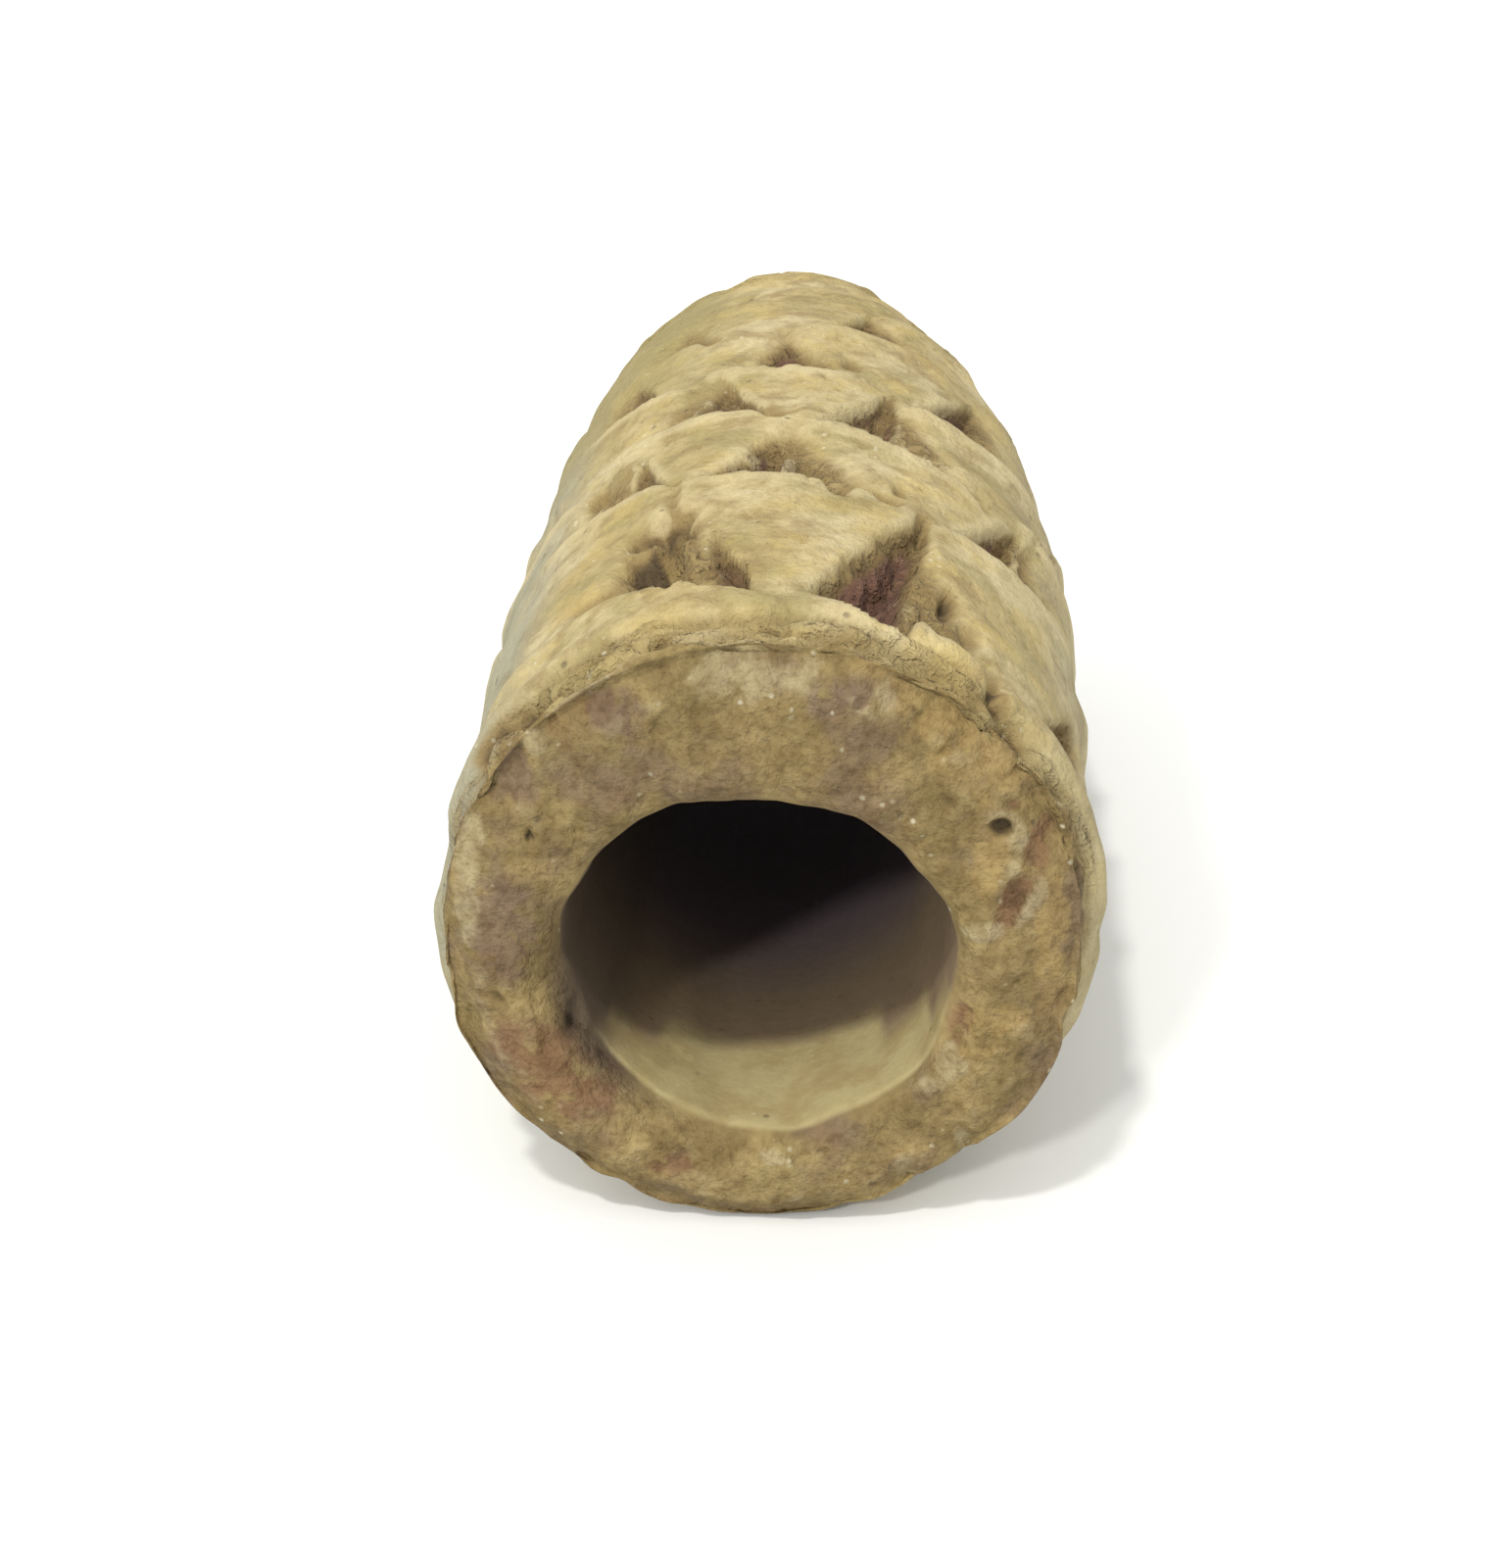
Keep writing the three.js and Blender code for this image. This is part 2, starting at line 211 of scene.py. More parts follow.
# The clay's unevenness: height in millimetres (degrees for the two that turn a notch's edges, plain shares
# for the crumbs, the streaks and the ragged edges of stains), size of the cells in millimetres, layers, seed,
# and how much of its height each layer keeps from the one before.
clayNoise = {
    "turnDrift": (1.3, 3.0, 1, 31, 0.5), "turnShake": (0.45, 1.2, 1, 33, 0.5),
    "alongDrift": (0.30, 3.0, 1, 37, 0.5), "alongShake": (0.16, 1.2, 1, 39, 0.5),
    "crumbs": (1.0, 1.7, 2, 41, 0.8), "streaks": (1.0, 1.2, 2, 59, 0.75),
    "broadSwell": (0.25, 9.0, 2, 43, 0.5), "closeSwell": (0.14, 3.4, 2, 47, 0.5),
    "ridgeWander": (0.3, 4.0, 1, 51, 0.5), "pores": (0.6, 1.3, 2, 57, 0.5),
    "rimSwell": (0.12, 3.0, 2, 63, 0.5), "rimChips": (0.5, 2.6, 1, 65, 0.5),
    "endSwell": (0.26, 6.0, 2, 61, 0.5), "endGrain": (0.1, 1.4, 3, 67, 0.5),
    "endPores": (0.6, 1.2, 2, 69, 0.5), "mouthChips": (0.5, 2.2, 2, 85, 0.5),
    "boreSwell": (0.3, 5.0, 3, 71, 0.5), "boreGrain": (0.06, 1.6, 2, 75, 0.5),
    "ragged": (1.0, 1.3, 3, 73, 0.7),
    "rimColourWander": (0.6, 1.6, 1, 81, 0.5), "litPatchWander": (0.7, 3.0, 1, 83, 0.5),
}
# Of these only the part that lies deeper than so much is kept, as separate pocks in even clay.
pockStart = {"pores": 0.55, "rimChips": 0.2, "endPores": 0.42, "mouthChips": 0.1}


# Numbers that vary over the surface.

def smooth(low, high, x):
    # the cubic step: 0 below low, 1 above high
    t = np.clip((x - low) / (high - low), 0, 1)
    return t * t * (3 - 2 * t)


def apart(a, b):
    # the signed angle from b to a, in degrees, between -180 and 180
    return (a - b + 180) % 360 - 180


def bell(angle, facing, halfWidth):
    # 1 where it faces, falling off to both sides like a bell
    return np.exp(-(apart(angle, facing) / halfWidth) ** 2)


lattice = {
    "arrows": 512,  # how many directions its corners share
    "mixers": (73856093, 19349663, 83492791),  # large primes that deal the directions out
    "gain": 1.6,  # brings the noise to about -1 to 1
}


def latticeNoise(points, cell, seed):
    # gradient noise: each lattice corner's own direction dotted with the way to it, blended by quintic steps
    rng = np.random.default_rng(seed)
    arrows = rng.normal(size=(lattice["arrows"], 3))
    arrows /= np.linalg.norm(arrows, axis=1)[:, None]
    mixX, mixY, mixZ = lattice["mixers"]
    place = points / cell
    base = np.floor(place).astype(np.int64)
    part = place - base
    blend = part ** 3 * (part * (part * 6 - 15) + 10)
    total = np.zeros(len(points))
    for corner in range(8):
        step = np.array([corner & 1, corner >> 1 & 1, corner >> 2 & 1])
        at = base + step
        pick = (at[:, 0] * mixX ^ at[:, 1] * mixY ^ at[:, 2] * mixZ) % lattice["arrows"]
        weight = np.prod(np.where(step, blend, 1 - blend), axis=1)
        total += weight * np.einsum("ij,ij->i", arrows[pick], part - step)
    return total * lattice["gain"]


def layeredNoise(points, cell, layers, seed, fade):
    # octaves of noise, each of half the cell and fade times the height of the one before
    return sum(fade ** n * latticeNoise(points, cell / 2 ** n, seed + n) for n in range(layers))


def unevenness(name, points):
    # the named noise times its height
    height, *noise = clayNoise[name]
    return height * layeredNoise(points, *noise)


def pocks(name, points):
    # the named noise times its height, only where it lies deeper than its start
    height, *noise = clayNoise[name]
    return height * np.minimum(layeredNoise(points, *noise) + pockStart[name], 0)


def unsteady(row, place, kind):
    # a repeatable figure between -1 and 1, for the unsteadiness of a hand-held knife: a sine times a cosine,
    # whose multipliers are arbitrary and only keep the notches from repeating
    return math.sin(row * 12.9 + place * 7.3 + kind * 4.1) * math.cos(row * 3.7 - place * 5.9 + kind)


def curveThrough(stations, x):
    # a cubic through the stations, its slope at each one that of the line between its neighbours
    at, value = np.array(stations, float).T
    slope = np.gradient(value, at)
    n = np.clip(np.searchsorted(at, x) - 1, 0, len(at) - 2)
    gap = at[n + 1] - at[n]
    t = (x - at[n]) / gap
    return (value[n] * (1 + 2 * t) * (1 - t) ** 2 + slope[n] * gap * t * (1 - t) ** 2
            + value[n + 1] * t * t * (3 - 2 * t) + slope[n + 1] * gap * t * t * (t - 1))


# The closed profile.

def arcBetween(centre, radius, start, end, steps):
    # part of a circle in the plane of distance from the axis and distance along it; angles in degrees
    a = np.radians(np.linspace(start, end, steps))
    return np.stack([centre[0] + radius * np.cos(a), centre[1] + radius * np.sin(a)], 1)


def lineBetween(start, end, steps):
    # evenly spaced points from one to the other, without the two ends themselves
    share = np.linspace(0, 1, steps)[1:-1, None]
    return start * (1 - share) + end * share


def sealProfile():
    # distance from the axis and distance along it, once round: wall, back rim, back face, back mouth,
    # bore, front mouth, front face, front rim
    edge, mouth, bore = seal["edgeRound"], seal["mouthRound"], seal["boreRadius"]
    rimSteps, mouthSteps = seal["rimSteps"], seal["mouthSteps"]
    t = np.linspace(0, 1, seal["wallSteps"])
    crowding = seal["wallCrowding"]
    along = edge + (sealLength - 2 * edge) * ((1 - crowding) * t + crowding * t * t)
    wall = np.stack([fullRadius * curveThrough(seal["outline"], along / sealLength), along], 1)
    frontOut, backOut = wall[0, 0], wall[-1, 0]
    backRim = arcBetween((backOut - edge, sealLength - edge), edge, 0, 90, rimSteps)[1:]
    backMouth = arcBetween((bore + mouth, sealLength - mouth), mouth, 90, 180, mouthSteps)
    frontMouth = arcBetween((bore + mouth, mouth), mouth, 180, 270, mouthSteps)
    frontRim = arcBetween((frontOut - edge, edge), edge, -90, 0, rimSteps)[:-1]
    backFace = lineBetween(backRim[-1], backMouth[0], seal["backSteps"])
    frontFace = lineBetween(frontMouth[-1], frontRim[0], seal["frontSteps"])
    boreWall = lineBetween(backMouth[-1], frontMouth[0], seal["boreSteps"])
    return np.concatenate([wall, backRim, backFace, backMouth, boreWall, frontMouth, frontFace, frontRim])


# Relief, in millimetres, as functions of the angle and the distance along.

def triangleDepth(angle, along, left, right, tip, deepest):
    # a three-sided pit with rounded corners: the inverse powers of the distances to its three sides are added
    # up and turned back into a distance; each counts as 1 at the deepest point
    def sideShare(a, b):
        # distance to the line through a and b
        nx, ny = b[1] - a[1], a[0] - b[0]
        here = apart(angle, a[0]) * nx + (along - a[1]) * ny
        return here / (apart(deepest[0], a[0]) * nx + (deepest[1] - a[1]) * ny)
    sides = np.stack([sideShare(left, right), sideShare(right, tip), sideShare(tip, left)])
    power = notch["cornerPower"]
    smallest = 1e-3  # keeps the powers finite along the sides
    return (np.clip(sides, smallest, None) ** -power).sum(0) ** (-1 / power) * (sides.min(0) > 0)


def evenNotch(row, place):
    # the corners and depths of a notch that keeps to its row's even spacing
    r, wander = notchRows[row], notch["wander"]
    middle = r["turn"] + place * 360 / notch["perRow"] + wander["turn"] * unsteady(row, place, 1)
    half = notch["width"] / 2 * (1 + wander["width"] * unsteady(row, place, 2))
    base = r["base"] + wander["base"] * unsteady(row, place, 3)
    reach = r["reach"] * (1 + wander["reach"] * unsteady(row, place, 4))
    depth = r["depth"] * (1 + wander["depth"] * unsteady(row, place, 5))
    tip = (middle + notch["tipLean"], base + reach)
    pit, pitHalf = middle + notch["pitShift"], notch["pitWidth"] / 2
    deepest = (pit + notch["deepestAside"] * pitHalf, base + notch["deepestAt"] * reach)
    return ((middle - half, base), (middle + half, base), tip, r["floor"],
            (pit - pitHalf, base), (pit + pitHalf, base), tip, deepest, depth)


def notches(angle, along, drift):
    # the deepest of the floors and pits at each place; how far the ground stands proud in front of each base
    # line, as a bell of the distance from it; and how much of it is pit
    cut, proud, pit = (np.zeros_like(angle) for _ in range(3))
    inFront, behind = notch["searchAlong"]
    crestStart, crestWhole = notch["crestWidth"]
    for row in range(len(notchRows)):
        for place in range(notch["perRow"]):
            shape = ownNotches.get((row, place)) or evenNotch(row, place)
            left, right, tip, floor, pitLeft, pitRight, pitTip, deepest, depth = shape
            middle, half = (left[0] + right[0]) / 2, (right[0] - left[0]) / 2
            near = np.abs(apart(angle, middle)) < notch["searchWide"] * half
            near &= (along > left[1] - inFront) & (along < tip[1] + behind)
            a, y = angle[near] + drift[0][near], along[near] + drift[1][near]
            low = (middle, (left[1] + right[1]) / 2 + notch["floorLowest"] * (tip[1] - left[1]))
            broad = floor * smooth(0, notch["floorEdge"], triangleDepth(a, y, left, right, tip, low))
            inside = triangleDepth(a, y, pitLeft, pitRight, pitTip, deepest)
            sharp = depth * (1 - np.clip(1 - inside / notch["pitEdge"], 0, 1) ** notch["pitBow"])
            cut[near] = np.maximum(cut[near], np.maximum(broad, sharp))
            stained = smooth(0, notch["stainEdge"], inside) * min(depth / notch["stainDepth"], 1)
            pit[near] = np.maximum(pit[near], stained)
            aside = apart(a, left[0]) / (2 * half)
            ahead = left[1] + (right[1] - left[1]) * aside - y
            ground = np.exp(-(ahead / notch["crestLength"]) ** 2) * smooth(*notch["crestStep"], ahead)
            wide = smooth(half * crestStart, half * crestWhole, np.abs(apart(a, middle)))
            proud[near] = np.maximum(proud[near], notch["crest"] * min(floor, 1) * ground * wide)
    return cut, proud, pit


def bump(angle, along, place, size, height):
    # a round swelling, or a hollow where height is negative: place and size are (angle, along)
    q = (apart(angle, place[0]) / size[0]) ** 2 + ((along - place[1]) / size[1]) ** 2
    return height * np.exp(-q)


# What a user would change about the wall's ground. A pair is where a smooth step begins and is whole.
wallGround = {
    "sunk": 0.12,  # how far the ground lies under the outline
    "cutEdge": (0.1, 0.7),  # of the depth cut away
    "crumbs": (0.02, 0.3),  # height of the crumbs on even ground, and what they gain in the cuts
    "streakShape": (0.3, 2.0, 0.3),  # how closely they follow each other across, along and up
    # a low ridge ends the front shoulder, a little further back on its left side
    "ridgeAt": 3.6, "ridgeShift": 0.6, "ridgeShiftSide": (-5, -35),
    "ridgeHeight": 0.25, "ridgeBehind": 0.4, "ridgeLength": 0.8,
    "shoulderStart": (0.15, 0.6),  # from the front
    "shoulderEnd": (0.2, 0.7),  # before the ridge
    "shoulderDrop": 0.2,
    "shoulderStreaks": (0.08, 0.52),  # their height, and what they gain on the upper side
    "upperSide": (110, 70),  # degrees either way from the top
    "farBandStart": (5.0, 3.8), "farBandEnd": (0.4, 1.2),  # from the back
    "farBandDrop": 0.2, "farBandStreaks": 0.25,
    "rimReach": (1.3, 0.1),
    "markRaggedness": 0.8,
    "markPit": (0.2, 0.9), "markPitShare": 0.5,  # of a mark's depth, for the pits' stain
    # how deep a mark is where painted shade begins in it and where it is whole
    "markShade": (0.45, 1.1),
    "shoulderRough": 0.6, "farBandRough": 0.4,
    "shoulderStain": (0.75, 0.9),  # its share, and what it follows of the streaks
}


def wallRelief(angle, along, points):
    # everything cut into or standing on the wall: the notches, swells, pores, streaked bands, ridge, rim
    # chips and marks added up; and where it is cut, pitted, painted with shade in deep marks, rough or on the
    # front shoulder
    g = wallGround
    drift = (unevenness("turnDrift", points) + unevenness("turnShake", points),
             unevenness("alongDrift", points) + unevenness("alongShake", points))
    cut, proud, pit = notches(angle, along, drift)
    inCut = smooth(*g["cutEdge"], cut)
    crumbs = unevenness("crumbs", points)
    swell = unevenness("broadSwell", points) - g["sunk"] + unevenness("closeSwell", points)
    streaks = unevenness("streaks", points * g["streakShape"])
    ridgeAt = g["ridgeAt"] + g["ridgeShift"] * smooth(*g["ridgeShiftSide"], angle)
    beforeRidge = ridgeAt + unevenness("ridgeWander", points) - along
    shoulder = smooth(*g["shoulderStart"], along) * smooth(*g["shoulderEnd"], beforeRidge)
    ridge = g["ridgeHeight"] * np.exp(-((beforeRidge + g["ridgeBehind"]) / g["ridgeLength"]) ** 2)
    fromBack = sealLength - along
    farBand = smooth(*g["farBandEnd"], fromBack) * smooth(*g["farBandStart"], fromBack)
    chips = smooth(*g["rimReach"], along) * (unevenness("rimSwell", points) + pocks("rimChips", points))
    upper = smooth(*g["upperSide"], np.abs(angle))
    crumbHeight, crumbGain = g["crumbs"]
    height = -cut + proud + swell + pocks("pores", points) + ridge + chips
    height += crumbs * (crumbHeight + crumbGain * inCut)
    streakHeight, streakGain = g["shoulderStreaks"]
    height -= shoulder * (g["shoulderDrop"] + (streakHeight + streakGain * upper) * streaks)
    height -= farBand * (g["farBandDrop"] + g["farBandStreaks"] * streaks)
    dark = np.zeros_like(angle)
    for a, y, halfWidth, halfLength, lift in wallMarks:
        mark = bump(angle, along, (a, y), (halfWidth, halfLength), lift) * (1 + g["markRaggedness"] * crumbs)
        height += mark
        cut = cut - np.minimum(mark, 0)
        pit = np.maximum(pit, g["markPitShare"] * smooth(*g["markPit"], -mark))
        # painted shade in the deep marks
        dark = np.maximum(dark, smooth(*g["markShade"], -mark))
    rough = np.maximum(inCut, g["shoulderRough"] * shoulder * upper)
    rough = np.maximum(rough, g["farBandRough"] * farBand)
    stainShare, stainStreaks = g["shoulderStain"]
    stained = shoulder * (stainShare + stainStreaks * streaks)
    return height, {"cut": cut, "pit": pit, "dark": dark, "rough": rough, "shoulder": stained}


# How the front end's marks meet the clay round them.
markEdges = {
    "roundness": 0.5,  # higher makes a mark smaller, with a flat middle and a quick edge
    "raggedness": 0.5,
    "stainFall": 0.6,  # higher makes a stain smaller
    "stainRaggedness": 0.9,
    "stainStep": (0.15, 0.75),
}


def faceRelief(x, z, points):
    # the front end's marks, each a bell of the distance from the middle of a leaning oval: relief, and one
    # figure from 0 to 1 for each stain
    ragged = unevenness("ragged", points)
    edges = markEdges
    height = np.zeros_like(x)
    stains = {kind: np.zeros_like(x) for kind in stainKinds}
    for across, up, halfWidth, halfHeight, lean, lift, stain in faceMarks:
        t = math.radians(lean)
        dx, dz = x - across, z - up
        q = ((dx * math.cos(t) - dz * math.sin(t)) / halfWidth) ** 2
        q += ((dx * math.sin(t) + dz * math.cos(t)) / halfHeight) ** 2
        height += lift * np.exp(-q * q * edges["roundness"]) * (1 + edges["raggedness"] * ragged)
        if stain:
            spread = np.exp(-q * edges["stainFall"]) * (1 + edges["stainRaggedness"] * ragged)
            stains[stain] = np.maximum(stains[stain], smooth(*edges["stainStep"], spread))
    return height, stains


def blurred(grid, reach):
    # the mean over a window, wrapping round both ways, passed over twice
    for _ in range(2):
        for axis in (0, 1):
            grid = sum(np.roll(grid, k, axis) for k in range(-reach, reach + 1)) / (2 * reach + 1)
    return grid


def wornTo(x, along):
    # how high the underside is worn away: 0 on the flat, and rising at a slope from its sides and its back
    # edge, the two rises added up
    flat = seal["restFlat"]
    beyond = [(np.abs(x - seal["axisAcross"]) - flat["halfWidth"], flat["sideSlope"]),
              (along - flat["to"], flat["endSlope"])]
    return sum(np.clip(gap, 0, None) * math.tan(math.radians(slope)) for gap, slope in beyond)


# What a user would change about the two ends and the bore. The way in is 0 on the wall and 1 in the bore.
endGround = {
    "wallEnds": (0.12, 0.0), "boreStarts": (0.85, 1.0), "mouthStarts": (0.5, 0.9),  # on the way in
    "rimWear": 0.6, "rimWearReach": 2.4,  # how far the edge of an end is worn down, and how far in
    "chippedMouth": (0.6, 0.9),
    "frontFacing": (0.1, 0.7),  # how squarely the surface faces the front
    "frontDepth": 5,
    "boreStretch": (1, 0.5, 1),  # the bore's unevenness is longer than it is wide
}

# Where the stains lie, and the light and shade painted on the clay: pairs are where a smooth step begins and
# is whole.
stainsAndPaintedLight = {
    "deepBoreShade": (2, 22),  # millimetres in from either end, over which painted shade deepens in the bore
    "edgeFold": (0.0, 0.1), "edgeBlur": 4,  # edges left out of the hollows and crests, and how widely
    "hollowBlur": 3,  # hollows and crests are seen against the mean over so many vertices
    # the flanks' grey-green, with a painted grazing sheen
    "flank": (34, 66), "flankLow": (110, 160), "flankLowLoss": 0.6,  # degrees either way from the top
    "rightFlank": 0.4,  # how much of the left flank's grey the right one has
    "rimColourReach": 1.0, "rimColourGain": 1.4, "rimColourSides": (48, 75), "rimColourFade": 0.9,
    # painted light on the bore's low side by the mouths, reaching in as far as the key light's shadow edge
    "litPatchRight": (88, 112), "litPatchLeft": (-112, -140),  # degrees where the painted light begins and is whole
    "litPatchReach": 8.9, "litPatchTurn": 2, "litPatchFade": (0.3, -0.5),
    # painted shade on the bore's left side
    "boreLeftShade": (-15, -50), "boreLeftLow": (-150, -115), "boreLeftStart": (0.2, 0.9),
    "endRough": 0.3,
    "endFacing": (0.1, 0.6), "insideFrom": 0.4,
    # painted shade on the soft left lip
    "lip": (0.3, 0.7),
    "duskFar": (28, 58), "duskLeft": (0, -36),
}


def carriedRound(profile):
    # every profile point at every angle, closer together at the top: angle, radius, distance along, and the
    # profile's outward direction, square to the line between each point's neighbours
    ahead = np.roll(profile, -1, 0) - np.roll(profile, 1, 0)
    ahead /= np.linalg.norm(ahead, axis=1)[:, None]
    outward = np.stack([ahead[:, 1], -ahead[:, 0]], 1)
    even = np.linspace(-math.pi, math.pi, seal["around"], endpoint=False)
    angle = np.tile(np.degrees(even - seal["crowding"] * np.sin(even)), len(profile))
    return angle, *(np.repeat(v, seal["around"]) for v in (*profile.T, *outward.T))


def unevenRadius(angle, radius, along, inwards):
    # the radius scaled by its swellings and worn places on the wall, and changed by the mouth's own shape
    scale = np.ones_like(radius)
    for facing, half, size, start, end in seal["uneven"]:
        scale += size * bell(angle, facing, half) * smooth(start, end, along / sealLength)
    radius = radius * (1 + (scale - 1) * (1 - inwards))
    nearMouth = smooth(*endGround["mouthStarts"], inwards) * smooth(*seal["mouthShapeReach"], along)
    for facing, half, narrower in seal["mouthShape"]:
        radius = radius - narrower * bell(angle, facing, half) * nearMouth
    return radius


def wornBack(angle, radius, along, rimRadius):
    # how far the front rim and the front mouth are worn back along the axis, and where the mouth is soft
    rimIn, rimAlong = seal["softRimReach"]
    rim = sum(worn * bell(angle, facing, half) for facing, half, worn in seal["softRim"])
    rim = rim * smooth(rimIn, 0.0, rimRadius - radius) * smooth(rimAlong, 0.0, along)
    facing, half, worn = seal["softLip"]
    lipOut, lipAlong = seal["softLipReach"]
    softLip = bell(angle, facing, half) * smooth(lipOut, 0.0, radius - seal["boreRadius"])
    return (rim + worn * softLip * smooth(lipAlong, 0.0, along)) * (along < sealLength / 2), softLip


def endRelief(points, inwards, fromRim):
    # the ground of both ends: swells, grain and pores, worn down towards the rim and chipped at the mouth
    worn = smooth(1, 0, fromRim / endGround["rimWearReach"]) ** 2
    return (unevenness("endSwell", points) + unevenness("endGrain", points) + pocks("endPores", points)
            - endGround["rimWear"] * worn
            + smooth(*endGround["chippedMouth"], inwards) * pocks("mouthChips", points))


def stainTraits(angle, along, points, inwards, inBore):
    # where the flanks are grey with a painted grazing sheen, the rim is brown, the far left is dusky, and
    # where light is painted on the bore's low side and shade deep inside it and on its left side
    w = stainsAndPaintedLight
    either = np.abs(angle)
    flank = smooth(*w["flank"], either) * (1 - w["flankLowLoss"] * smooth(*w["flankLow"], either))
    rimReach = w["rimColourReach"] + w["rimColourGain"] * smooth(*w["rimColourSides"], either)
    rimColour = smooth(rimReach, rimReach - w["rimColourFade"], along + unevenness("rimColourWander", points))
    # the bore's low side, where light is painted
    low = np.where(angle > 0, smooth(*w["litPatchRight"], angle), smooth(*w["litPatchLeft"], angle))
    reach = w["litPatchReach"] * np.abs(np.cos(np.radians(angle + w["litPatchTurn"])))
    reach = reach + unevenness("litPatchWander", points)
    endward = np.minimum(along, sealLength - along)
    litFrom, litTo = w["litPatchFade"]
    # painted shade on the bore's left side
    left = smooth(*w["boreLeftShade"], angle) * smooth(*w["boreLeftLow"], angle)
    deepFrom, deepTo = w["deepBoreShade"]
    return rimColour, {
        "flank": flank * np.where(angle > 0, w["rightFlank"], 1),
        "boreLitPatch": low * smooth(reach + litFrom, reach + litTo, endward),
        "boreLeftShade": left * smooth(*w["boreLeftStart"], endward),
        "dusk": smooth(*w["duskFar"], along) * smooth(*w["duskLeft"], angle),
        "bore": inBore,
        "deepBoreShade": inBore * np.clip((endward - deepFrom) / (deepTo - deepFrom), 0, 1),
    }


def hollowsAndCrests(height, fold, steps):
    # how far the relief lies under or over its own mean round about, away from the rims and mouths: where
    # shade is painted in hollows and a highlight on crests
    w = stainsAndPaintedLight
    atEdge = blurred(smooth(*w["edgeFold"], fold).reshape(steps, -1), w["edgeBlur"]).ravel()
    mean = blurred(height.reshape(steps, -1), w["hollowBlur"]).ravel()
    local = (height - mean) * smooth(*w["edgeFold"][::-1], atEdge)
    return {"hollowShade": np.maximum(-local, 0), "crest": np.maximum(local, 0)}


def sealSurface():
    # each profile point carried once round the axis, its outline made uneven, moved out by its relief
    profile = sealProfile()
    steps = len(profile)
    angle, radius, along, outR, outY = carriedRound(profile)
    turn = np.radians(angle)
    share = along / sealLength
    rimRadius = fullRadius * curveThrough(seal["outline"], share)
    inwards = np.clip((rimRadius - radius) / (rimRadius - seal["boreRadius"]), 0, 1)
    radius = unevenRadius(angle, radius, along, inwards)
    back, softLip = wornBack(angle, radius, along, rimRadius)
    onFront = along < sealLength / 2
    along = along + back
    drop = seal["boreDrop"] * smooth(0, 1, inwards)

    plain = np.stack([radius * np.sin(turn), along, radius * np.cos(turn)], 1)
    onWall = (outR > 0) * smooth(*endGround["wallEnds"], inwards)
    inBore = smooth(*endGround["boreStarts"], inwards)
    onEnd = (1 - onWall) * (1 - inBore)
    frontEnd = smooth(*endGround["frontFacing"], -outY) * (along < endGround["frontDepth"])
    relief, wallTraits = wallRelief(angle, along, plain)
    marks, stains = faceRelief(plain[:, 0], plain[:, 2] - drop, plain)
    ends = endRelief(plain, inwards, rimRadius - radius) + frontEnd * marks
    bore = unevenness("boreSwell", plain * endGround["boreStretch"]) + unevenness("boreGrain", plain)
    height = onWall * relief + onEnd * ends + inBore * bore

    out = radius + height * outR
    bowEnds = [seal["bow"][0], seal["bow"][-1]]
    straight = np.interp(share, [at for at, _ in bowEnds], [aside for _, aside in bowEnds])
    sideways = curveThrough(seal["bow"], share) * (1 - inwards) + straight * inwards
    x = out * np.sin(turn) + seal["axisAcross"] + sideways
    z = np.maximum(axisHeight - drop + out * np.cos(turn), wornTo(x, along))
    y = along + height * outY - sealLength / 2
    vertices = np.stack([x, y, z], 1) * mm

    w = stainsAndPaintedLight
    rimColour, traits = stainTraits(angle, along, plain, inwards, inBore)
    traits.update({name: amount * onWall for name, amount in wallTraits.items()})
    traits.update(hollowsAndCrests(height, np.abs(outR * outY), steps))
    traits.update({kind + "Stain": amount * frontEnd for kind, amount in stains.items()})
    traits["rough"] = np.maximum(traits["rough"], w["endRough"] * onEnd)
    inside = np.maximum(rimColour * onWall, inwards > w["insideFrom"])
    traits["face"] = np.maximum(smooth(*w["endFacing"], np.abs(outY)), inside)
    # painted shade on the soft left lip
    traits["lip"] = softLip ** 2 * onFront * smooth(*w["lip"], inwards)
    return vertices, traits, steps


def ringFaces(steps, around):
    # four corners of every cell of a grid closed both ways, facing out
    i, j = np.meshgrid(np.arange(steps), np.arange(around), indexing="ij")
    nextI, nextJ = (i + 1) % steps, (j + 1) % around
    corners = [i * around + j, i * around + nextJ, nextI * around + nextJ, nextI * around + j]
    return np.stack([c.ravel() for c in corners], 1)


def meshFrom(name, vertices, faces):
    mesh = bpy.data.meshes.new(name)
    mesh.vertices.add(len(vertices))
    mesh.vertices.foreach_set("co", vertices.astype(np.float32).ravel())
    size = faces.shape[1]
    mesh.loops.add(faces.size)
    mesh.loops.foreach_set("vertex_index", faces.astype(np.int32).ravel())
    mesh.polygons.add(len(faces))
    mesh.polygons.foreach_set("loop_start", np.arange(0, faces.size, size, dtype=np.int32))
    mesh.polygons.foreach_set("use_smooth", np.ones(len(faces), bool))
    mesh.update(calc_edges=True)
    mesh.validate()
    piece = bpy.data.objects.new(name, mesh)
    bpy.context.scene.collection.objects.link(piece)
    return piece


def makeSeal():
    vertices, traits, steps = sealSurface()
    piece = meshFrom("carvedSeal", vertices, ringFaces(steps, seal["around"]))
    for name, values in traits.items():
        layer = piece.data.attributes.new(name, "FLOAT", "POINT")
        layer.data.foreach_set("value", values.astype(np.float32))
    return piece


carvedSeal = makeSeal()
print("seal surface:", len(carvedSeal.data.polygons), "faces")


# The fired clay.

